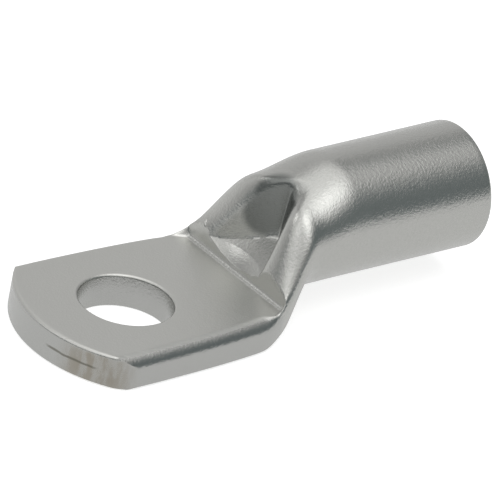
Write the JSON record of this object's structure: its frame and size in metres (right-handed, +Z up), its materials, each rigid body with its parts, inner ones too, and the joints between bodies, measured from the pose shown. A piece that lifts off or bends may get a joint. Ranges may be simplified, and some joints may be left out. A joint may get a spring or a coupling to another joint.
{
  "type": "tubular cable lug",
  "caption": "One-piece tubular cable lug: round crimp barrel, pressed neck with a pocket, and a flat palm with a rounded tip and a bolt hole.",
  "frame": {"origin": "centre of the bolt hole on the palm's underside", "axes": "+X along the barrel towards its open mouth, +Z up through the palm, Y across the palm"},
  "size_m": [0.0559, 0.0218, 0.016],
  "materials": {
    "tinned_copper": "satin tin plate on copper, finely pitted"
  },
  "bodies": {
    "root": {"cable_lug": "tinned_copper"}
  },
  "joints": []
}
